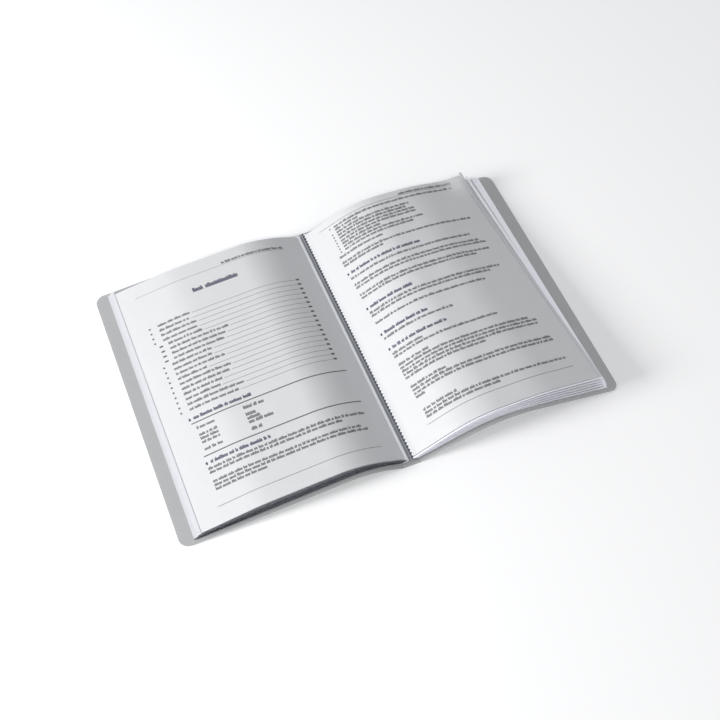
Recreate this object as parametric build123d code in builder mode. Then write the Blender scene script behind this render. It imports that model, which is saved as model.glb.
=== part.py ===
from build123d import *

from dataclasses import dataclass
from math import atan2, cos, hypot, sin, tan
import os

# Clear pocket display book, lying open.
# The origin is on the table under the middle of the spine. +X runs to the back cover,
# +Y to the tops of the pages, where the pockets are open, and +Z is up. Millimetres.
# Each leaf and cover is a curved sheet: its section is a path in the XZ plane, from the
# spine outwards, and the sheet runs straight along Y.

os.makedirs("parts", exist_ok=True)

# Printed sheet and the pocket around it
sheet_width = 210.0
sheet_length = 297.0
sheet_thickness = 0.12
film_thickness = 0.10
sheet_clearance = 0.05
spine_weld_width = 3.0
edge_weld_width = 1.5
sheet_side_play = 0.25
sheet_foot_play = 0.8
mouth_margin = 3.7
tooth_width = 4.0
tooth_depth = 0.8
leaves_per_side = 5

# Cover of one creased sheet, with a spine panel between two cover panels
panel_thickness = 0.8
cover_overhang = 9.0
head_overhang = 3.5
spine_width = 17.0
corner_radius = 10.0
crease_web = 0.3
spine_edge_gap = 0.15
cover_edge_gap = 0.5

# Binding strip on the spine, with a rib under the root of each leaf
binding_width = 15.0
binding_thickness = 1.0
rib_thickness = 0.7
rib_gap = 0.5
rib_drop_height = 0.3
tallest_rib_height = 2.45
middle_gap = 2.5
rib_clearance = 0.25
root_gap = 1.2

# Height of each cover's arch, before its apex is rounded
front_arch_height = 14.7
back_arch_height = 31.2

# Gap under the lowest leaf, over its cover, at its crest, on its slope and at its fore-edge
front_base_crest_gap = 1.85
front_base_slope_gap = 0.75
front_base_edge_gap = 0.25
back_base_crest_gap = 2.45
back_base_slope_gap = 2.5
back_base_edge_gap = 3.2

# Gap between two leaves at the same places
front_leaf_crest_gap = 2.04
front_leaf_slope_gap = 2.18
front_leaf_edge_gap = 0.40
back_leaf_crest_gap = 3.58
back_leaf_slope_gap = 3.86
back_leaf_edge_gap = 5.0

# Places outwards of the covers' apexes and the leaves' corners, as shares of the pocket's width
front_apex_share = 0.194
back_apex_share = 0.438
front_top_corner_shares = (0.230, 0.691)
front_bottom_corner_shares = (0.203, 0.691)
back_top_corner_shares = (0.313, 0.645)
back_bottom_corner_shares = (0.406, 0.691)

# Rounding of the corners, as shares of the pocket's width
front_apex_rounding_share = 0.40
back_apex_rounding_share = 0.60
front_leaf_rounding_shares = (0.46, 0.92)
back_leaf_rounding_shares = (0.52, 0.92)

# Sizes that follow
sheet_gap = sheet_thickness + 2 * sheet_clearance
half_gap = sheet_gap / 2
half_leaf = half_gap + film_thickness
half_panel = panel_thickness / 2
spine_weld_end = root_gap + spine_weld_width
sheet_inner_margin = spine_weld_end + tooth_depth + sheet_side_play
sheet_outer_margin = edge_weld_width + sheet_side_play
pocket_width = sheet_inner_margin + sheet_width + sheet_outer_margin
pocket_length = edge_weld_width + sheet_foot_play + sheet_length + mouth_margin
pocket_mouth = pocket_length / 2
sheet_head = pocket_mouth - mouth_margin
panel_width = pocket_width + cover_overhang
panel_length = pocket_length + 2 * head_overhang
crease_x = spine_width / 2 + spine_edge_gap
crease_z = crease_web / 2
groove_depth = panel_thickness - crease_web
binding_top = panel_thickness + binding_thickness
rib_distance = rib_thickness + rib_gap
leaf_thickness = 2 * half_leaf
to_foot = (0, -1, 0)


@dataclass
class Path:
    """Corner points of a section outwards from the spine, and the radius at each inner corner.

    Every corner turns downwards, so a parallel path above has larger radii.
    """

    points: list
    radii: list

    def heading(self, index):
        """Angle above level of the stretch that starts at a point."""
        (x0, z0), (x1, z1) = self.points[index], self.points[index + 1]
        return atan2(z1 - z0, x1 - x0)

    def height(self, x):
        """Height of the unrounded path at a distance outwards."""
        index = sum(x > corner[0] for corner in self.points[1:-1])
        start_x, start_z = self.points[index]
        return start_z + (x - start_x) * tan(self.heading(index))

    def trimmed(self, start, end=0.0):
        """The same path from start past its first point to end before its last one."""
        first, last = self.heading(0), self.heading(len(self.points) - 2)
        (x0, z0), (x1, z1) = self.points[0], self.points[-1]
        head = (x0 + start * cos(first), z0 + start * sin(first))
        tail = (x1 - end * cos(last), z1 - end * sin(last))
        return Path([head, *self.points[1:-1], tail], self.radii)

    def parallel(self, distance):
        """The path that lies a distance above this one."""
        last = len(self.points) - 1
        moved = []
        for index, (x, z) in enumerate(self.points):
            before = self.heading(max(index - 1, 0))
            after = self.heading(min(index, last - 1))
            middle = (before + after) / 2
            reach = distance / cos((before - after) / 2)
            moved.append((x - reach * sin(middle), z + reach * cos(middle)))
        return Path(moved, [radius + distance for radius in self.radii])

    def on_side(self, side):
        """Corner points on the front half (-1) or the back half (1) of the book."""
        return [(side * x, z) for x, z in self.points]


def rounding_loss(radius, turn):
    """Length that rounding a corner with this turn takes off a path."""
    return radius * (2 * tan(turn / 2) - turn)


def path_of_length(points, radii, fall, length):
    """A path through the points whose last stretch falls at an angle and ends at a length."""
    x, z = points[-1]
    trial = Path([*points, (x + length * cos(fall), z - length * sin(fall))], radii)
    rest = length
    for index, radius in enumerate(radii):
        (x0, z0), (x1, z1) = trial.points[index], trial.points[index + 1]
        turn = trial.heading(index) - trial.heading(index + 1)
        rest += rounding_loss(radius, turn) - hypot(x1 - x0, z1 - z0)
    return Path([*points, (x + rest * cos(fall), z - rest * sin(fall))], radii)


def path_down_to(points, radii, floor_height, length):
    """A path through the points whose last stretch falls straight to a floor at a length.

    floor_height gives the floor's height at a distance outwards.
    """
    x, z = points[-1]
    fall = 0
    for _ in range(8):
        end_x = path_of_length(points, radii, fall, length).points[-1][0]
        fall = atan2(z - floor_height(end_x), end_x - x)
    return path_of_length(points, radii, fall, length)


def cover_path(apex_share, arch_height, rounding_share):
    """Middle of a cover panel: up from its crease, over a round apex and down to the table."""
    points = [(crease_x, crease_z), (apex_share * pocket_width, arch_height)]
    radii = [rounding_share * pocket_width]
    return path_down_to(points, radii, lambda x: half_panel, panel_width)


def leaf_root(place):
    """Hinge line of a leaf, counted from the middle of the book outwards."""
    x = (rib_thickness + middle_gap) / 2 + place * rib_distance
    return (x, binding_top + tallest_rib_height + rib_clearance - place * rib_drop_height)


def leaf_path(place, cover, corner_shares, rounding_shares, base_gaps, leaf_gaps):
    """Middle of a leaf's thickness, over the cover and the leaves that lie under it.

    The corners move outwards evenly from the top leaf to the bottom one. The gaps are those
    at the crest, on the slope and at the fore-edge.
    """
    below = leaves_per_side - 1 - place
    lifts = [half_panel + base + half_leaf + below * (leaf_thickness + gap)
             for base, gap in zip(base_gaps, leaf_gaps)]
    points = [leaf_root(place)]
    for top, bottom, lift in zip(*corner_shares, lifts):
        x = (top + place / (leaves_per_side - 1) * (bottom - top)) * pocket_width
        points.append((x, cover.height(x) + lift))
    radii = [share * pocket_width for share in rounding_shares]
    return path_down_to(points, radii, lambda x: cover.height(x) + lifts[-1], pocket_width)


def front_leaf_path(place):
    """Path of a leaf on the front half, which lies nearly flat."""
    return leaf_path(place, front_cover_path, (front_top_corner_shares, front_bottom_corner_shares),
                     front_leaf_rounding_shares,
                     (front_base_crest_gap, front_base_slope_gap, front_base_edge_gap),
                     (front_leaf_crest_gap, front_leaf_slope_gap, front_leaf_edge_gap))


def back_leaf_path(place):
    """Path of a leaf on the back half, which stands in a high arch."""
    return leaf_path(place, back_cover_path, (back_top_corner_shares, back_bottom_corner_shares),
                     back_leaf_rounding_shares,
                     (back_base_crest_gap, back_base_slope_gap, back_base_edge_gap),
                     (back_leaf_crest_gap, back_leaf_slope_gap, back_leaf_edge_gap))


front_cover_path = cover_path(front_apex_share, front_arch_height, front_apex_rounding_share)
back_cover_path = cover_path(back_apex_share, back_arch_height, back_apex_rounding_share)


def layer_section(path, side, low, high, y):
    """Section between two heights over a path, on the plane across Y that faces the foot."""
    lower, upper = path.parallel(low), path.parallel(high)
    below, above = lower.on_side(side), upper.on_side(side)
    with BuildSketch(Plane.XZ.offset(-y)) as section:
        with BuildLine():
            FilletPolyline(*below, radius=lower.radii)
            FilletPolyline(*above, radius=upper.radii)
            Line(below[0], above[0])
            Line(below[-1], above[-1])
        make_face()
    return section.sketch


def root_plane(path, side):
    """Plane of a leaf's straight stretch at the root: X outwards along it, Z up through it."""
    x, z = path.points[0]
    rise = path.heading(0)
    return Plane(origin=(side * x, 0, z), x_dir=(side * cos(rise), 0, sin(rise)),
                 z_dir=(-side * sin(rise), 0, cos(rise)))


def tooth_outline():
    """Outline of the row of teeth along the spine weld, on a leaf's root plane."""
    count = int(pocket_length / tooth_width)
    first = -count * tooth_width / 2
    outline = [(root_gap, -first), (root_gap, first)]
    for index in range(count):
        outline.append((spine_weld_end, first + index * tooth_width))
        outline.append((spine_weld_end + tooth_depth, first + (index + 0.5) * tooth_width))
    outline.append((spine_weld_end, -first))
    return outline


# Spine panel, with half of a groove along each crease
with BuildPart() as spine_panel:
    with BuildSketch():
        Rectangle(spine_width, panel_length)
    extrude(amount=panel_thickness)
    top_edges = spine_panel.edges().filter_by(Axis.Y).group_by(Axis.Z)[-1]
    chamfer(top_edges, length=groove_depth)
spine_panel.part.label = "spine_panel"
export_step(spine_panel.part, "parts/spine_panel.step")

# Binding strip, whose ribs step down from the middle so that the leaves lie on each other
with BuildPart() as binding_strip:
    with BuildSketch(Plane.XZ.offset(-pocket_mouth)):
        with Locations((0, panel_thickness + binding_thickness / 2)):
            Rectangle(binding_width, binding_thickness)
        for place in range(leaves_per_side):
            root_x, root_z = leaf_root(place)
            rib_height = root_z - rib_clearance - panel_thickness
            for side in (-1, 1):
                with Locations((side * root_x, panel_thickness + rib_height / 2)):
                    Rectangle(rib_thickness, rib_height)
    extrude(amount=pocket_length)
binding_strip.part.label = "binding_strip"
export_step(binding_strip.part, "parts/binding_strip.step")

# Cover panels, with round corners at the fore-edge and the groove's other half at the crease
for name, side, path in (("front_cover", -1, front_cover_path), ("back_cover", 1, back_cover_path)):
    with BuildPart() as cover:
        section = layer_section(path.trimmed(cover_edge_gap), side, -half_panel, half_panel,
                                panel_length / 2)
        extrude(section, amount=panel_length, dir=to_foot)
        crease_end = cover.faces().sort_by(Axis.X, reverse=side < 0)[0]
        chamfer(crease_end.edges().sort_by(Axis.Z)[-1], length=groove_depth)
        fore_edge = cover.faces().sort_by(Axis.X, reverse=side < 0)[-1]
        fillet(fore_edge.edges().filter_by(Axis.Y, reverse=True), radius=corner_radius)
    cover.part.label = name
    export_step(cover.part, f"parts/{name}.step")

# Pockets, numbered from the front cover, so that the book lies open between two of them
pockets = [(leaves_per_side - place, -1, front_leaf_path(place)) for place in range(leaves_per_side)]
pockets += [(leaves_per_side + 1 + place, 1, back_leaf_path(place)) for place in range(leaves_per_side)]
for number, side, path in pockets:
    pocket = f"pocket_{number:02d}"
    pocket_path = path.trimmed(root_gap)

    # The front film faces the front cover: down on the front half and up on the back half
    for name, facing in (("front_film", side), ("back_film", -side)):
        low, high = sorted((facing * half_gap, facing * half_leaf))
        with BuildPart() as film:
            section = layer_section(pocket_path, side, low, high, pocket_mouth)
            extrude(section, amount=pocket_length, dir=to_foot)
        film.part.label = f"{pocket}_{name}"
        export_step(film.part, f"parts/{pocket}_{name}.step")

    # The weld closes the gap between the films on three sides, with teeth along the spine
    room_path = path.trimmed(spine_weld_end, edge_weld_width)
    with BuildPart() as weld:
        section = layer_section(pocket_path, side, -half_gap, half_gap, pocket_mouth)
        extrude(section, amount=pocket_length, dir=to_foot)
        room = layer_section(room_path, side, -sheet_gap, sheet_gap, pocket_mouth)
        extrude(room, amount=pocket_length - edge_weld_width, dir=to_foot, mode=Mode.SUBTRACT)
        with BuildSketch(root_plane(path, side)):
            with BuildLine():
                Polyline(*tooth_outline(), close=True)
            make_face()
        extrude(amount=half_gap, both=True)
    weld.part.label = f"{pocket}_weld"
    export_step(weld.part, f"parts/{pocket}_weld.step")

    # The printed sheet slides in from the mouth
    sheet_path = path.trimmed(sheet_inner_margin, sheet_outer_margin)
    half_sheet = sheet_thickness / 2
    with BuildPart() as sheet:
        section = layer_section(sheet_path, side, -half_sheet, half_sheet, sheet_head)
        extrude(section, amount=sheet_length, dir=to_foot)
    sheet.part.label = f"{pocket}_sheet"
    export_step(sheet.part, f"parts/{pocket}_sheet.step")
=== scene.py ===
from math import atan2, cos, pi, radians, sin, tan

import bpy
import numpy as np
from mathutils import Matrix, Vector


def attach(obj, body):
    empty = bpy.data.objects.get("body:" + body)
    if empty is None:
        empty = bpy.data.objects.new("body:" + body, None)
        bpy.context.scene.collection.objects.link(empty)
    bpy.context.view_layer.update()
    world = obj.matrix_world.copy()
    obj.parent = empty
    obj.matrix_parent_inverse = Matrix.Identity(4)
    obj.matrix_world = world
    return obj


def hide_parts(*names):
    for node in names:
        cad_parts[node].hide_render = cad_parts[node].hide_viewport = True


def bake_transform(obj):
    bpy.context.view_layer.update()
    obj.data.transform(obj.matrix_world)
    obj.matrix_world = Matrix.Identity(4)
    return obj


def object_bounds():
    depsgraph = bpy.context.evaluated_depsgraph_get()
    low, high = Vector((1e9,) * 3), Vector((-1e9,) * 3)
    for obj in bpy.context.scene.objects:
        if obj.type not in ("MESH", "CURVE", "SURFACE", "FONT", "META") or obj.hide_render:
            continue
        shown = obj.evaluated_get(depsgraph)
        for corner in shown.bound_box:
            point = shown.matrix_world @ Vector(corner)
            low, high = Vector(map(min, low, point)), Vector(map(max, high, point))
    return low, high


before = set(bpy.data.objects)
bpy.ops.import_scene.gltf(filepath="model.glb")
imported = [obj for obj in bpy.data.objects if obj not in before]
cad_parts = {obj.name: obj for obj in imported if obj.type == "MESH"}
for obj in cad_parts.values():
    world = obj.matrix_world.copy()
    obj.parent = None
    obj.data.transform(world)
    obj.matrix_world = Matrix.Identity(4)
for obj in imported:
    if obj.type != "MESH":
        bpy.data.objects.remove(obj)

# Looks of the clear display book. Shapes are worked out in millimetres, from the same named
# sizes as the solids, and turned into metres when a mesh is made.
cad_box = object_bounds()
mm = 0.001

# View: its turn and height, its distance, lens and sensor, and the point it looks at
view_azimuth, view_elevation = radians(22.218), radians(56.668)
view_distance, view_lens, sensor_width = 1145.6, 55.9, 36.0
view_target = (-0.3, -23.4, 0.0)

# Printed sheet, the pocket around it and the strip that joins the pocket to its rib
sheet_width, sheet_length, sheet_thickness = 210.0, 297.0, 0.12
film_thickness, sheet_clearance = 0.10, 0.05
root_gap, spine_weld_width, foot_weld_width, fore_edge_weld_width = 1.2, 0.5, 1.5, 3.2
tooth_width, tooth_depth, flat_weld_width, knurl_pitch = 4.0, 1.5, 0.05, 1.2
sheet_inner_play, sheet_outer_play, sheet_foot_play, mouth_margin = 0.1, 0.5, 0.8, 3.7
weld_share_of_gap, root_strip_share_of_gap = 0.98, 0.9
root_strip_above, root_strip_below = 0.4, 0.6
leaves_per_side = 5

# Cover and binding strip
panel_thickness, panel_edge_round, groove_depth = 0.8, 0.14, 0.5
cover_overhang, head_overhang, corner_radius = 9.0, 3.5, 10.0
crease_x, crease_z, cover_edge_gap = 8.65, 0.15, 0.5
crease_web, crease_inwards, crease_outwards = 0.2, 0.35, 0.7
binding_top, tallest_rib_height, rib_drop_height, rib_clearance = 1.8, 2.45, 0.3, 0.25
first_rib, rib_distance = 1.6, 1.2

# Print: the height of a line of words and of a heading, the distance between lines, the words
# of a line, and the marks that rules and words are cut into
word_height, heading_height, line_pitch = 2.4, 2.9, 4.3
shortest_word, longest_word, longest_heading_word, word_space_share = 1.8, 9.5, 13, 0.45
number_width, heading_indent, words_drawn = 1.9, 5, 80
word_mark, rule_mark, print_lift = 1.35, 2.4, 0.02
mark_share, tall_mark_chance, tall_mark_share = 0.80, 0.3, 0.35

# Steps of the grids, the distance within which two rows are one, and the rounds in which the
# fall of a path's last stretch is found
section_points, sheet_rows, leaf_points, panel_points, panel_rows = 1501, 33, 100, 90, 41
bend_points, seam_points, edge_points, crease_points, root_points = 12, 4, 3, 8, 9
same_place, fall_rounds = 0.01, 8

# Shapes of the two halves. As in the solids: the height of the cover's arch, and its place and
# rounding and those of the leaves' corners, as shares of the pocket's width, and the gaps under
# the lowest leaf and between leaves, at the crest, on the slope and at the fore-edge. As the
# book really lies: the scales and slants at the foot and at the head, for the cover, the top
# leaf and the lowest leaf, and the droop and curl of the top leaf's head corner.
curl_reach = 20.0
front = dict(
    side=-1, arch=14.7, apex=0.194, apex_round=0.40, top=(0.230, 0.691), bottom=(0.203, 0.691),
    rounds=(0.46, 0.92), base_gaps=(1.85, 0.75, 0.25), leaf_gaps=(2.04, 2.18, 0.40),
    cover_scales=(1.04, 0.93), top_scales=(1.04, 0.93), low_scales=(1.04, 0.93),
    top_slants=(0.0, 0.0), low_slants=(3.0, 3.0), droop=0.0, curl=0.0,
)
back = dict(
    side=1, arch=31.2, apex=0.438, apex_round=0.60, top=(0.313, 0.645), bottom=(0.406, 0.691),
    rounds=(0.52, 0.92), base_gaps=(2.45, 2.5, 3.2), leaf_gaps=(3.58, 3.86, 5.0),
    cover_scales=(0.94, 0.5), top_scales=(1.02, 0.86), low_scales=(1.0, 0.80),
    top_slants=(4.0, 19.0), low_slants=(2.5, 3.0), droop=8.5, curl=7.0,
)

# Sizes that follow
half_sheet = sheet_thickness / 2
half_gap = half_sheet + sheet_clearance
half_leaf = half_gap + film_thickness
half_panel = panel_thickness / 2
half_weld = half_gap * weld_share_of_gap
spine_weld_end = root_gap + spine_weld_width
tooth_end = spine_weld_end + tooth_depth
sheet_inner_margin = tooth_end + sheet_inner_play
sheet_outer_margin = fore_edge_weld_width + sheet_outer_play
pocket_width = sheet_inner_margin + sheet_width + sheet_outer_margin
pocket_length = foot_weld_width + sheet_foot_play + sheet_length + mouth_margin
pocket_mouth = pocket_length / 2
sheet_head = pocket_mouth - mouth_margin
panel_width = pocket_width + cover_overhang
panel_length = pocket_length + 2 * head_overhang


class Path:
    """Section of a sheet outwards from the spine: straight stretches joined by arcs.

    The heading is constant along a stretch and falls evenly along an arc.
    """

    def __init__(self, points, radii):
        self.points = np.array(points, float)
        run, rise = np.diff(self.points, axis=0).T
        self.headings = np.arctan2(rise, run)
        turns = self.headings[:-1] - self.headings[1:]
        cuts = np.array(radii) * np.tan(turns / 2)
        parts = np.empty(2 * len(run) - 1)
        parts[::2] = np.hypot(run, rise) - np.append(0, cuts) - np.append(cuts, 0)
        parts[1::2] = radii * turns
        breaks = np.append(0, np.cumsum(parts))
        self.length = breaks[-1]
        self.steps = np.linspace(0, self.length, section_points)
        self.heading = np.interp(self.steps, breaks, np.repeat(self.headings, 2))

    def height(self, x):
        """Height of the unrounded path at a distance outwards."""
        index = sum(x > corner for corner in self.points[1:-1, 0])
        start_x, start_z = self.points[index]
        return start_z + (x - start_x) * tan(self.headings[index])


def rows_between(foot, head):
    """Places across the book of a grid's rows: its own two ends and what all grids share."""
    sheet = np.linspace(sheet_head - sheet_length, sheet_head, sheet_rows)
    shared = np.concatenate([[-pocket_mouth], sheet, [pocket_mouth]])
    between = (shared > foot + same_place) & (shared < head - same_place)
    return np.concatenate([[foot], shared[between], [head]])


class Spread:
    """A section carried along the book, which changes evenly from the foot to the head.

    The headings are scaled, so the sheet gets flatter or steeper and keeps its width. A slant
    moves the points inwards in proportion to the distance along the section. A droop lowers
    the head by the square of that distance, and a curl lifts its corner by a bell curve. The
    points are kept in a table and read from it by their distance along the section and their
    place across the book.
    """

    def __init__(self, path, scales, slants=(0, 0), droop=0, curl=0):
        self.length = path.length
        self.rows = rows_between(-panel_length / 2, panel_length / 2)
        share = self.rows / panel_length + 0.5
        along = path.steps[:, None]
        heading = path.heading[:, None] * (scales[0] + (scales[1] - scales[0]) * share)
        middle = (heading[1:] + heading[:-1]) / 2
        moves = np.stack([np.cos(middle), np.sin(middle)]) * path.steps[1]
        moved = np.pad(np.cumsum(moves, axis=1), ((0, 0), (1, 0), (0, 0)))
        x, z = path.points[0][:, None, None] + moved
        x = x - (slants[0] + (slants[1] - slants[0]) * share) * along / path.length
        z = z - droop * share * (along / path.length) ** 2
        away = (path.length - along) ** 2 + (pocket_mouth - self.rows) ** 2
        z = z + curl * np.exp(-away / curl_reach ** 2)
        self.table = np.stack([x, z, heading])

    def at(self, along, across):
        """Distance outwards, height and heading, weighted between the four nearest points."""
        along, across = np.broadcast_arrays(along, across)
        row = along / self.length * (self.table.shape[1] - 1)
        column = np.interp(across, self.rows, np.arange(len(self.rows)))
        i = np.clip(row.astype(int), 0, self.table.shape[1] - 2)
        j = np.clip(column.astype(int), 0, self.table.shape[2] - 2)
        u, v = row - i, column - j
        near = self.table[:, i, j] * (1 - v) + self.table[:, i, j + 1] * v
        far = self.table[:, i + 1, j] * (1 - v) + self.table[:, i + 1, j + 1] * v
        return near * (1 - u) + far * u


def path_of_length(points, radii, fall, length):
    """A path through the points whose last stretch falls at an angle and ends at a length.

    A trial path with too long an end tells how much of it to cut off.
    """
    x, z = points[-1]
    trial = Path([*points, (x + length * cos(fall), z - length * sin(fall))], radii)
    rest = 2 * length - trial.length
    return Path([*points, (x + rest * cos(fall), z - rest * sin(fall))], radii)


def path_down_to(points, radii, floor_height, length):
    """A path through the points whose last stretch falls straight to a floor at a length.

    The fall is the angle down to the floor under the end of the path with the last fall.
    """
    x, z = points[-1]
    fall = 0
    for _ in range(fall_rounds):
        end_x = path_of_length(points, radii, fall, length).points[-1][0]
        fall = atan2(z - floor_height(end_x), end_x - x)
    return path_of_length(points, radii, fall, length)


def cover_path(half):
    """Middle of a cover panel: up from its crease, over a round apex and down to the table."""
    points = [(crease_x, crease_z), (half["apex"] * pocket_width, half["arch"])]
    radii = [half["apex_round"] * pocket_width]
    return path_down_to(points, radii, lambda x: half_panel, panel_width)


def leaf_root(place):
    """Hinge line of a leaf, counted from the middle of the book outwards."""
    height = binding_top + tallest_rib_height + rib_clearance - place * rib_drop_height
    return (first_rib + place * rib_distance, height)


def leaf_path(half, place, cover):
    """Middle of a leaf's thickness, over the cover and the leaves that lie under it.

    A corner lies over the unrounded cover by half a panel, the gap under the lowest leaf and
    half a leaf, and by a leaf and a gap more for each leaf below.
    """
    below = leaves_per_side - 1 - place
    lifts = [half_panel + base + half_leaf + below * (2 * half_leaf + gap)
             for base, gap in zip(half["base_gaps"], half["leaf_gaps"])]
    points = [leaf_root(place)]
    for top, bottom, lift in zip(half["top"], half["bottom"], lifts):
        x = (top + place / (leaves_per_side - 1) * (bottom - top)) * pocket_width
        points.append((x, cover.height(x) + lift))
    radii = [share * pocket_width for share in half["rounds"]]
    return path_down_to(points, radii, lambda x: cover.height(x) + lifts[-1], pocket_width)


# Meshes
sharp_angle = radians(35)


def layer(path, side, along, across, lift):
    """Points of a sheet: along its section, across the book, and a lift square to the section."""
    x, z, heading = path.at(along, across)
    x = side * (x - lift * np.sin(heading))
    z = z + lift * np.cos(heading)
    return np.stack(np.broadcast_arrays(x, across, z), -1)


def cells(grid):
    """Quads between neighbouring indices of a grid."""
    corners = [grid[:-1, :-1], grid[1:, :-1], grid[1:, 1:], grid[:-1, 1:]]
    return np.stack(corners, -1).reshape(-1, 4)


def closed_sheet(*layers):
    """A thin solid from grids that lie over each other, lowest first.

    The lowest and the highest grid are filled with quads, and strips join the borders of
    neighbouring grids, so only the border of a grid between them is used.
    """
    points = np.array(layers)
    index = np.arange(points[..., 0].size).reshape(points.shape[:3])
    ring = np.concatenate(
        [index[:, :-1, 0], index[:, -1, :-1], index[:, :0:-1, -1], index[:, 0, :0:-1]], axis=1)
    after = np.roll(ring, -1, axis=1)
    rims = np.stack([ring[:-1], after[:-1], after[1:], ring[1:]], -1).reshape(-1, 4)
    quads = np.concatenate([cells(index[0])[:, ::-1], rims, cells(index[-1])])
    used, quads = np.unique(quads, return_inverse=True)
    return points.reshape(-1, 3)[used], quads.reshape(-1, 4)


def new_piece(name, solid, side, finishes, body=None, stands_for=(), inks=None):
    """A mesh from points in millimetres and quads, which turn round on the front half (-1).

    It rides on a body and stands for nodes of the solids, if these are given. The inks are the
    places of its faces' finishes in the list.
    """
    points, quads = solid
    mesh = bpy.data.meshes.new(name)
    mesh.from_pydata((points * mm).tolist(), [], quads[:, ::side].tolist())
    mesh.shade_smooth()
    mesh.set_sharp_from_angle(angle=sharp_angle)
    for finish in finishes:
        mesh.materials.append(finish)
    if inks is not None:
        mesh.polygons.foreach_set("material_index", inks)
    piece = bpy.data.objects.new(name, mesh)
    bpy.context.scene.collection.objects.link(piece)
    if body:
        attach(piece, body)
    if stands_for:
        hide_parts(*stands_for)
    return piece


# Materials
class Signal:
    """A node's output. Arithmetic on it adds Math nodes."""

    def __init__(self, finish, socket):
        self.finish, self.socket = finish, socket

    def _math(self, operation, *values):
        return self.finish.node("ShaderNodeMath", dict(enumerate(values)), operation=operation)

    def __add__(self, other):
        return self._math("ADD", self, other)

    def __mul__(self, other):
        return self._math("MULTIPLY", self, other)

    def __pow__(self, other):
        return self._math("POWER", self, other)

    def __rpow__(self, other):
        return self._math("POWER", other, self)

    __radd__, __rmul__ = __add__, __mul__


class Finish:
    """The nodes of one material."""

    def __init__(self, name):
        self.material = bpy.data.materials.new(name)
        self.material.use_nodes = True
        self.tree = self.material.node_tree
        self.tree.nodes.clear()
        self.place = self.node("ShaderNodeTexCoord", output="Object")

    def node(self, kind, inputs=(), output=0, **settings):
        """Adds a node with its settings, then its inputs, and returns one of its outputs."""
        node = self.tree.nodes.new(kind)
        for name, value in settings.items():
            setattr(node, name, value)
        for name, value in dict(inputs).items():
            if isinstance(value, Signal):
                self.tree.links.new(value.socket, node.inputs[name])
            else:
                node.inputs[name].default_value = value
        return Signal(self, node.outputs[output])

    def noise(self, scale, detail, stretch=(1, 1, 1)):
        """Noise whose features are 1 / scale metres across, stretched along the axes."""
        place = self.node("ShaderNodeMapping", {"Vector": self.place, "Scale": stretch})
        return self.node("ShaderNodeTexNoise", {"Vector": place, "Scale": scale, "Detail": detail})

    def colour(self, factor, first, second):
        """A mix of two colours."""
        inputs = {0: factor, 6: (*first, 1), 7: (*second, 1)}
        return self.node("ShaderNodeMix", inputs, 2, data_type="RGBA")

    def bump(self, height, distance, strength):
        """A normal from a height of 0 to 1 over a distance in metres."""
        inputs = {"Height": height, "Distance": distance, "Strength": strength}
        return self.node("ShaderNodeBump", inputs)

    def shader(self, **inputs):
        """A Principled shader. Underscores in the names stand for spaces."""
        named = {name.replace("_", " "): value for name, value in inputs.items()}
        return self.node("ShaderNodeBsdfPrincipled", named)

    def over_clear(self, share, shader, tint):
        """The shader, by a share, over what is seen through it in a tint."""
        clear = self.node("ShaderNodeBsdfTransparent", {"Color": (*tint, 1)})
        return self.node("ShaderNodeMixShader", {0: share, 1: clear, 2: shader})

    def done(self, shader):
        """The material, with this shader as its surface."""
        output = self.tree.nodes.new("ShaderNodeOutputMaterial")
        self.tree.links.new(shader.socket, output.inputs["Surface"])
        return self.material


def cover_finish():
    """Grey see-through polypropylene with a fine satin grain and a faint emission that is painted
    light.
    """
    finish = Finish("cover_plastic_satin")
    grain = finish.noise(1800, 3)
    cloud = finish.noise(18, 3)
    # The emission is painted light: it lifts the cover faintly where it lies in the leaves' shadow.
    shader = finish.shader(
        Base_Color=finish.colour(cloud, (0.44, 0.445, 0.45), (0.49, 0.495, 0.50)),
        Roughness=0.30 + grain * 0.20, Normal=finish.bump(grain, 0.00006, 0.6),
        Specular_IOR_Level=0.5, Emission_Color=(1, 1, 1, 1), Emission_Strength=0.07)
    return finish.done(finish.over_clear(0.56 + cloud * 0.08, shader, (0.90, 0.905, 0.91)))


def film_finish():
    """Clear glossy film with slow ripples, so reflections wander over it."""
    finish = Finish("clear_film")
    ripple = finish.noise(11, 1, (1.0, 0.45, 1.0))
    haze = finish.noise(220, 3)
    normal = finish.bump(ripple, 0.006, 0.30)
    gloss = finish.shader(Base_Color=(0.97, 0.975, 1.0, 1), Metallic=1.0,
                          Roughness=0.30 + haze * 0.10, Normal=normal)
    turned_away = finish.node("ShaderNodeLayerWeight", {"Blend": 0.5, "Normal": normal}, "Facing")
    mirror = 0.022 + turned_away ** 5 * 0.8
    return finish.done(finish.over_clear(mirror, gloss, (0.997, 0.9972, 0.999)))


def seam_finish(name, dark, light, share, pitch, painted_glow=0.0):
    """Pressed weld with a knurl along the seam, over a share of what lies under it.

    The knurl's brightness is a sine of the place across the book. The emission strength is painted
    light: it brightens the weld where it lies in shade, in place of light that the clear film
    leads to it.
    """
    finish = Finish(name)
    across = finish.node("ShaderNodeSeparateXYZ", {0: finish.place}, "Y")
    wave = finish.node("ShaderNodeMath", {0: across * (2 * pi / (pitch * mm))}, operation="SINE")
    knurl = wave * 0.5 + 0.5
    shader = finish.shader(
        Base_Color=finish.colour(knurl, dark, light), Roughness=0.40 + knurl * 0.2,
        Normal=finish.bump(knurl, 0.0002, 0.8), Emission_Color=(0.96, 0.96, 1.0, 1),
        Emission_Strength=painted_glow)
    return finish.done(finish.over_clear(share + knurl * 0.1, shader, (0.9, 0.92, 0.95)))


def paper_finish():
    """White office paper with a faint fibre."""
    finish = Finish("white_paper")
    fibre = finish.noise(2600, 4, (1, 0.5, 1))
    tone = finish.noise(60, 4)
    return finish.done(finish.shader(
        Base_Color=finish.colour(tone, (0.78, 0.782, 0.786), (0.82, 0.822, 0.826)),
        Roughness=0.62 + fibre * 0.2, Normal=finish.bump(fibre, 0.00004, 0.35)))


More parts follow.
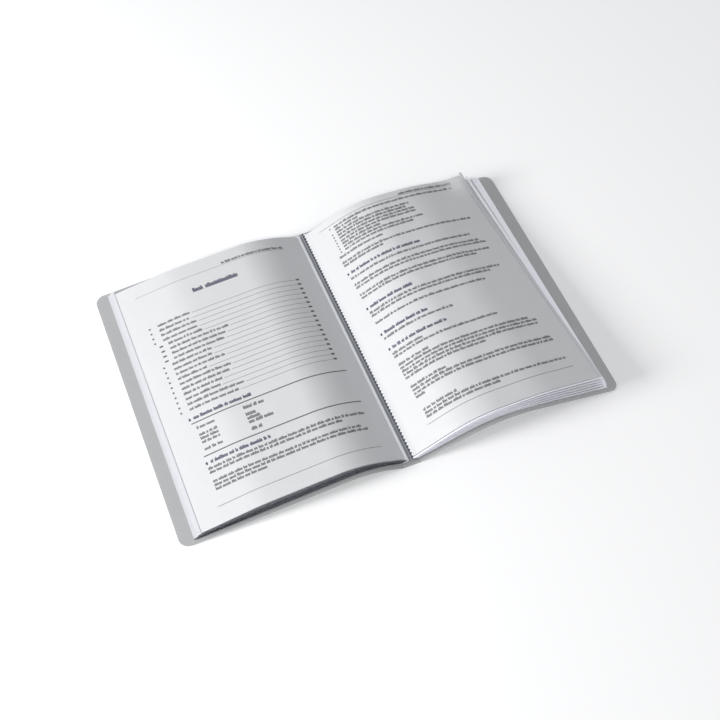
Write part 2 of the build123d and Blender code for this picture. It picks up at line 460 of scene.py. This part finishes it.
def ink_finish(name, tone, faded):
    """Toner on paper, a little uneven."""
    finish = Finish(name)
    patch = finish.noise(900, 3)
    return finish.done(finish.shader(
        Base_Color=finish.colour(patch, tone, faded), Roughness=0.45 + patch * 0.2,
        Normal=finish.bump(patch, 0.00002, 0.3)))


def strip_finish():
    """Milky plastic of the binding strip."""
    finish = Finish("binding_strip_plastic")
    grain = finish.noise(900, 3)
    return finish.done(finish.shader(
        Base_Color=finish.colour(grain, (0.50, 0.52, 0.55), (0.60, 0.62, 0.65)),
        Roughness=0.35 + grain * 0.15, Normal=finish.bump(grain, 0.00005, 0.4)))


cover_plastic = cover_finish()
clear_film = film_finish()
dark_seam = seam_finish("spine_weld_dark", (0.018, 0.024, 0.032), (0.14, 0.15, 0.17), 0.90,
                        tooth_width)
# Front half's spine welds and root strips: their emission is painted light, which with the pale
# colour brightens them where they face away from the lamp.
painted_glow_spine_finish = seam_finish("spine_weld_pale_painted_glow", (0.84, 0.85, 0.87), (0.90, 0.91, 0.93), 0.85, 1.5, 0.20)
edge_seam = seam_finish("fore_edge_weld", (0.90, 0.90, 0.92), (0.95, 0.95, 0.97), 0.72, knurl_pitch)
# Back half's foot welds: the lilac tint is a painted reflection and the emission is painted light
# on the stack's edges.
painted_sheen_foot_finish = seam_finish("back_foot_weld_painted_sheen", (0.88, 0.88, 0.94), (0.94, 0.94, 0.98), 0.80,
                         knurl_pitch, 0.16)
# Back half's flat welds and lower fore-edge welds: the emission is painted light that brightens
# them where they lie in shade.
painted_glow_weld_finish = seam_finish("weld_painted_glow", (0.88, 0.88, 0.92), (0.94, 0.94, 0.97), 0.80,
                          knurl_pitch, 0.22)
# Front half's foot welds: painted shade, dark and more see-through, for the shadow in the gap under
# the top leaf.
painted_shade_foot_finish = seam_finish("front_foot_weld_painted_shade", (0.10, 0.11, 0.115), (0.22, 0.23, 0.235), 0.34,
                        knurl_pitch)
white_paper = paper_finish()
black_ink = ink_finish("ink_black", (0.085, 0.088, 0.095), (0.16, 0.165, 0.175))
navy_ink = ink_finish("ink_navy", (0.016, 0.018, 0.07), (0.030, 0.033, 0.11))
strip_plastic = strip_finish()

for node, plastic in (("spine_panel", cover_plastic), ("binding_strip", strip_plastic)):
    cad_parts[node].data.materials.clear()
    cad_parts[node].data.materials.append(plastic)


# Print: bars that stand for words, seeded for each page
class PagePrint:
    """Bars on a page: left and right edge, place down the page, height, ink, and 1 for words.

    The places are measured from the left edge and the head of the page. The inks are 0 for
    black and 1 for navy.
    """

    def __init__(self, seed):
        self.chance = np.random.default_rng(seed)
        self.bars = []

    def rule(self, left, right, down, height, ink=0):
        """A ruled line."""
        self.bars.append(np.array([[left, right, down, height, ink, 0]]))

    def words(self, left, right, down, height=word_height, ink=0, longest=longest_word):
        """A line of words of chance lengths that fills the space between two edges."""
        lengths = self.chance.uniform(shortest_word, longest, words_drawn)
        space = word_space_share * height
        ends = np.cumsum(lengths + space) - space
        count = max(1, np.sum(ends < right - left))
        fill = (right - left) / ends[count - 1]
        ends, lengths = left + ends[:count] * fill, lengths[:count] * fill
        column = np.ones_like(ends)
        self.bars.append(np.stack(
            [ends - lengths, ends, down * column, height * column, ink * column, column], 1))

    def lines(self, left, down, ends):
        """Lines of words that end at the given places."""
        for line, end in enumerate(ends):
            self.words(left, end, down + line * line_pitch)

    def block(self, left, right, down, lines):
        """Lines of words of which the last is short. Returns the place under them."""
        for line in range(lines):
            last = line == lines - 1
            end = left + (right - left) * (self.chance.uniform(0.35, 0.85) if last else 1)
            self.words(left, end, down + line * line_pitch)
        return down + lines * line_pitch

    def heading(self, left, length, down):
        """A bold numbered heading in navy."""
        self.rule(left, left + number_width, down, heading_height, 1)
        start = left + heading_indent
        self.words(start, start + length, down, heading_height, 1, longest_heading_word)


def contents_page(seed):
    """A page with a title, a list with leader lines and page numbers, a table and two texts."""
    page = PagePrint(seed)
    page.words(116, 186, 14.6)
    page.rule(18, 186, 17, 0.35)
    page.words(77, 127, 36.3, 4.2, 1, 26)
    for row in range(18):
        down = 61.2 + row * 6.39
        inset = 4 if 3 < row < 8 else 0
        page.rule(20 + inset, 22 + inset * 1.5, down, 1.9)
        page.words(30 + inset, 32 + inset + page.chance.uniform(22, 62), down)
        page.rule(page.bars[-1][-1, 1] + 2, 182.5, down + 0.8, 0.42)
        page.rule(183.7, 187.7, down, 2.4)
    page.heading(25.5, 61, 180.6)
    page.rule(26.5, 192, 185.8, 1.2)
    for down in (192.5, 200.6, 205.1, 209.6, 217.8):
        page.words(30, 49, down)
        page.words(79, 81 + page.chance.uniform(8, 27), down, 2.9)
    page.rule(26.5, 192, 224.8, 1.2)
    page.heading(26, 62, 232.8)
    page.lines(26.5, 239.2, (189, 163))
    page.lines(26.5, 253.4, (179, 185, 79))
    page.rule(22.5, 190, 279.6, 0.5)
    return np.concatenate(page.bars)


def text_page(seed):
    """A close page: a numbered list, headings and texts, down to a footer line."""
    page = PagePrint(seed)
    page.words(124, 194, 6)
    page.rule(17, 194, 8.3, 0.45)
    for row, end in enumerate((192, 66, 130, 124, 133, 133, 86, 138, 124)):
        if row != 1:
            page.rule(29, 30.7, 13 + row * 4.2, 1.8)
        page.words(35.5, end, 13 + row * 4.2)
    for down, ends in (
        (52.5, (82,)), (60.5, (191, 77)), (83.6, (177,)), (92.8, (183, 190)), (107.2, (189, 170)),
        (132.9, (187, 173)), (147, (161,)), (168.2, (111,)), (188.9, (65, 150)),
        (203.6, (65, 179, 187, 186, 122)), (232.2, (71, 189, 190, 40)), (261, (69, 190, 113)),
    ):
        page.lines(23.5 + down * 0.024, down, ends)
    for down, length in ((76.4, 88), (126.2, 53), (162, 53), (181.9, 65)):
        page.heading(22.2 + down * 0.024, length, down)
    page.rule(27, 192, 277, 0.5)
    return np.concatenate(page.bars)


def article_page(seed):
    """A plain page of headings and texts down to a footer line."""
    page = PagePrint(seed)
    page.words(136, 196, 15)
    page.rule(16, 196, 19, 0.3)
    down = 30
    while down < 240:
        page.heading(16, page.chance.uniform(30, 90), down)
        down = page.block(18, 190, down + 6, int(page.chance.integers(2, 6))) + 3
        down = page.block(18, 190, down, int(page.chance.integers(1, 5))) + 7
    page.rule(16, 196, 281, 0.35)
    return np.concatenate(page.bars)


def print_marks(bars, seed):
    """The bars cut into equal marks, so that they follow a curved sheet.

    Those of rules are long and join. Those of words are short, with a gap after each, and
    some of them stand taller.
    """
    longest = np.where(bars[:, 5] > 0, word_mark, rule_mark)
    counts = np.ceil((bars[:, 1] - bars[:, 0]) / longest).astype(int)
    marks = np.repeat(bars, counts, axis=0)
    step = (marks[:, 1] - marks[:, 0]) / np.repeat(counts, counts)
    order = np.arange(len(marks)) - np.repeat(np.cumsum(counts) - counts, counts)
    left = marks[:, 0] + order * step
    worded = marks[:, 5] > 0
    tall = np.random.default_rng(seed).random(len(marks)) < tall_mark_chance
    taller = worded * tall * tall_mark_share * marks[:, 3]
    right = left + step * np.where(worded, mark_share, 1.0)
    down = marks[:, 2] - taller / 2
    return np.column_stack([left, right, down, marks[:, 3] + taller, marks[:, 4]])


def print_solid(bars, half, path, face):
    """Bars laid on a face of a sheet, 1 for its upper face and -1 for its lower one.

    The page is read from its left edge, which is at the spine on the back half's upper faces
    and on the front half's lower ones.
    """
    left, right, down, height, _ = bars.T
    reads_outwards = face * half["side"] > 0
    across_page = np.stack([left, right], 1)
    outwards = sheet_inner_margin + (across_page if reads_outwards else sheet_width - across_page)
    rows = sheet_head - down[:, None] + np.array([-0.5, 0.5]) * height[:, None]
    points = layer(path, half["side"], outwards[:, :, None], rows[:, None, :],
                   face * (half_sheet + print_lift))
    index = np.arange(points[..., 0].size).reshape(points.shape[:3])
    quads = np.stack([index[:, 0, 0], index[:, 1, 0], index[:, 1, 1], index[:, 0, 1]], -1)
    turn = face if reads_outwards else -face
    return points.reshape(-1, 3), quads.reshape(-1, 4)[:, ::turn]


# Covers
def make_cover(name, half, path):
    """Cover panel with round outer corners, softened edges and half of the crease's groove.

    The grid's rows follow the section. Near the fore-edge each row is as long as the round
    corners leave it.
    """
    bend = np.linspace(0, pi / 2, bend_points)
    layers = []
    for lift, inset, start in (
        (-half_panel, panel_edge_round, 0), (panel_edge_round - half_panel, 0, 0),
        (half_panel - panel_edge_round, 0, groove_depth - panel_edge_round),
        (half_panel, panel_edge_round, groove_depth),
    ):
        end = path.length - inset
        radius = corner_radius - inset
        straight = np.linspace(cover_edge_gap + start, end - radius, panel_points)
        along = np.append(straight, (end - radius * (1 - np.sin(bend)))[1:])
        cut = np.append(0 * straight, (radius * (1 - np.cos(bend)))[1:])
        across = (panel_length / 2 - inset - cut)[:, None] * np.linspace(-1, 1, panel_rows)
        layers.append(layer(path, half["side"], along[:, None], across, lift))
    new_piece(f"{name}_sheet", closed_sheet(*layers), half["side"], [cover_plastic],
              name, [name])


def make_crease(name, half):
    """Thin web of the living hinge between the spine panel and a cover."""
    along = np.linspace(crease_x - crease_inwards, crease_x + crease_outwards, crease_points)
    across = np.linspace(-panel_length / 2, panel_length / 2, edge_points)
    outwards = half["side"] * along[:, None]
    layers = [np.stack(np.broadcast_arrays(outwards, across, crease_z + lift), -1)
              for lift in (-crease_web / 2, crease_web / 2)]
    piece = new_piece(f"{name}_crease", closed_sheet(*layers), half["side"], [cover_plastic])
    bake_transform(piece)


# Leaves
def make_root(number, half, place, path):
    """Film strip from the top of a rib up to a leaf, bent as a curve with its corner at the root.

    The curve is (1 - t)^2 rib + 2 t (1 - t) root + t^2 leaf, for t from 0 to 1.
    """
    root = np.array(leaf_root(place))[:, None, None]
    across = np.linspace(-pocket_mouth, pocket_mouth, root_points)
    leaf = path.at(root_gap + root_strip_above, across)[:2, None]
    share = np.linspace(0, 1, root_points)[:, None]
    rib = root - np.array([0, root_strip_below])[:, None, None]
    line = (1 - share) ** 2 * rib + 2 * share * (1 - share) * root + share ** 2 * leaf
    slope = np.gradient(line, axis=1)
    slope /= np.hypot(*slope)
    layers = []
    for lift in (-half_gap * root_strip_share_of_gap, half_gap * root_strip_share_of_gap):
        x = half["side"] * (line[0] - lift * slope[1])
        z = line[1] + lift * slope[0]
        layers.append(np.stack(np.broadcast_arrays(x, across, z), -1))
    # On the front half the root strip takes the spine weld's finish with its painted emission.
    piece = new_piece(f"root_strip_{number:02d}", closed_sheet(*layers), half["side"],
                      [dark_seam if half["side"] > 0 else painted_glow_spine_finish])
    held_by = "pocket_07" if number == 6 else "spine"
    ends = [(half["side"] * x * mm, 0, z * mm)
            for x, z in (rib[:, 0, 0], leaf[:, 0, root_points // 2])]
    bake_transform(piece)


def slab(path, side, along, across, half_thickness):
    """A thin solid on both sides of a sheet's middle."""
    return closed_sheet(*(layer(path, side, along, across, lift)
                          for lift in (-half_thickness, half_thickness)))


def make_films(number, side, path):
    """The two films of a pocket. The front one faces the front cover."""
    along = np.linspace(root_gap, path.length, leaf_points)[:, None]
    across = rows_between(-pocket_mouth, pocket_mouth)
    for word, facing in (("front", side), ("back", -side)):
        low, high = sorted((facing * half_gap, facing * half_leaf))
        solid = closed_sheet(*(layer(path, side, along, across, lift) for lift in (low, high)))
        new_piece(f"{word}_film_{number:02d}", solid, side, [clear_film],
                  f"pocket_{number:02d}", [f"pocket_{number:02d}_{word}_film"])


def make_welds(number, side, place, path):
    """The welds of a pocket: at the spine, between its teeth, at the foot and at the fore-edge.

    The spine weld is longer on every second row, which makes its teeth, and a flat part of the
    weld goes on from there to just past their tips.
    """
    rows = np.arange(int(2 * pocket_length / tooth_width) + 1) * tooth_width / 2
    rows = (rows - rows[-1] / 2)[None, :]
    ends = spine_weld_end + tooth_depth * (np.arange(rows.size) % 2)
    teeth = root_gap + np.linspace(0, 1, seam_points)[:, None] * (ends - root_gap)
    flat_end = tooth_end + flat_weld_width
    flat = ends + np.linspace(0, 1, 2)[:, None] * (flat_end - ends)
    foot = np.linspace(spine_weld_end, path.length, panel_points)[:, None]
    foot_rows = np.array([-pocket_mouth, foot_weld_width - pocket_mouth])
    fore_edge = np.linspace(path.length - fore_edge_weld_width, path.length, edge_points)[:, None]
    fore_edge_rows = rows_between(foot_weld_width - pocket_mouth, pocket_mouth)
    # Painted light by finish: the front half's foot welds are painted shade. Its spine and flat
    # welds, and the back half's flat, foot and lower fore-edge welds, have emission as painted
    # light, and the back half's foot welds also carry a painted lilac reflection.
    if side < 0:
        finishes = painted_glow_spine_finish, painted_glow_spine_finish, painted_shade_foot_finish, edge_seam
    else:
        finishes = dark_seam, painted_glow_weld_finish, painted_sheen_foot_finish, painted_glow_weld_finish if place else edge_seam
    welds = (("spine", teeth, rows), ("flat", flat, rows), ("foot", foot, foot_rows),
             ("fore_edge", fore_edge, fore_edge_rows))
    for (word, along, across), finish in zip(welds, finishes):
        new_piece(f"{word}_weld_{number:02d}", slab(path, side, along, across, half_weld), side,
                  [finish], f"pocket_{number:02d}", [f"pocket_{number:02d}_weld"])


def make_page(number, half, place, path):
    """The sheet of a pocket, printed on both sides. Each open page has a layout of its own."""
    side = half["side"]
    body = f"sheet_{number:02d}"
    along = np.linspace(sheet_inner_margin, path.length - sheet_outer_margin, leaf_points)[:, None]
    across = rows_between(sheet_head - sheet_length, sheet_head)
    new_piece(f"paper_{number:02d}", slab(path, side, along, across, half_sheet), side,
              [white_paper], body, [f"pocket_{number:02d}_sheet"])
    for word, face in (("upper", 1), ("lower", -1)):
        seed = 2 * number + (face > 0)
        if face > 0 and place == 0:
            bars = contents_page(seed) if side < 0 else text_page(seed)
        else:
            bars = article_page(seed)
        bars = print_marks(bars, seed)
        new_piece(f"print_{number:02d}_{word}", print_solid(bars, half, path, face), 1,
                  [black_ink, navy_ink], body, inks=bars[:, 4].astype(np.int32))


def make_leaf(number, half, place, cover):
    """One pocket and its sheet, on the section that its place in the stack gives it.

    Down the stack the scales go evenly from the top leaf's to the lowest leaf's, and the droop
    evenly to nothing. The slants differ from the lowest leaf's by the square of the share of
    the stack that lies below. Only the top leaf curls.
    """
    depth = place / (leaves_per_side - 1)
    scales = [top + depth * (low - top) for top, low in zip(half["top_scales"], half["low_scales"])]
    slants = [low + (1 - depth) ** 2 * (top - low)
              for top, low in zip(half["top_slants"], half["low_slants"])]
    path = Spread(leaf_path(half, place, cover), scales, slants, half["droop"] * (1 - depth),
                  half["curl"] * (place == 0))
    make_films(number, half["side"], path)
    make_welds(number, half["side"], place, path)
    make_page(number, half, place, path)
    make_root(number, half, place, path)


for name, half in (("front_cover", front), ("back_cover", back)):
    cover = cover_path(half)
    make_cover(name, half, Spread(cover, half["cover_scales"]))
    make_crease(name, half)
    for place in range(leaves_per_side):
        number = leaves_per_side + 1 + place if half["side"] > 0 else leaves_per_side - place
        make_leaf(number, half, place, cover)


# Floor and light, in metres. The light stands beyond the front cover. A look passes through no
# more than the given number of clear surfaces, which is enough for five pockets and a cover.
floor_reach, floor_drop = 12.0, 0.0002
light_distance, light_elevation, light_size, light_power = 1.8, radians(24), 0.6, 31.0
sky_colour, sky_strength, surfaces_seen_through = (0.97, 0.98, 1.0, 1), 0.48, 24

floor_mesh = bpy.data.meshes.new("floor")
floor_mesh.from_pydata([(-floor_reach, -floor_reach, 0), (floor_reach, -floor_reach, 0),
                        (floor_reach, floor_reach, 0), (-floor_reach, floor_reach, 0)],
                       [], [(0, 1, 2, 3)])
floor_finish = Finish("floor_white")
floor_mesh.materials.append(floor_finish.done(floor_finish.shader(
    Base_Color=(0.97, 0.97, 0.97, 1), Roughness=0.9, Specular_IOR_Level=0.1,
    Emission_Color=(1, 1, 1, 1), Emission_Strength=0.2)))
floor = bpy.data.objects.new("floor", floor_mesh)
floor.location.z = cad_box[0][2] - floor_drop
bpy.context.scene.collection.objects.link(floor)

lamp = bpy.data.lights.new("key_light", "AREA")
lamp.shape, lamp.size, lamp.energy = "SQUARE", light_size, light_power
light = bpy.data.objects.new("key_light", lamp)
light.location = Vector((-cos(light_elevation), 0, sin(light_elevation))) * light_distance
light.rotation_euler = (-light.location).to_track_quat("-Z", "Y").to_euler()
bpy.context.scene.collection.objects.link(light)

world = bpy.data.worlds.new("studio")
world.use_nodes = True
background = world.node_tree.nodes["Background"]
background.inputs["Color"].default_value = sky_colour
background.inputs["Strength"].default_value = sky_strength
bpy.context.scene.world = world
bpy.context.scene.view_settings.view_transform = "Standard"
bpy.context.scene.cycles.transparent_max_bounces = surfaces_seen_through

# Camera
lens = bpy.data.cameras.new("camera")
lens.lens, lens.sensor_width = view_lens, sensor_width
camera = bpy.data.objects.new("camera", lens)
to_eye = Vector((-sin(view_azimuth) * cos(view_elevation), -cos(view_azimuth) * cos(view_elevation),
                 sin(view_elevation)))
right = Vector((cos(view_azimuth), -sin(view_azimuth), 0))
turn = Matrix((right, to_eye.cross(right), to_eye)).transposed().to_4x4()
place = (Vector(view_target) + to_eye * view_distance) * mm
camera.matrix_world = Matrix.Translation(place) @ turn
bpy.context.scene.collection.objects.link(camera)
bpy.context.scene.camera = camera
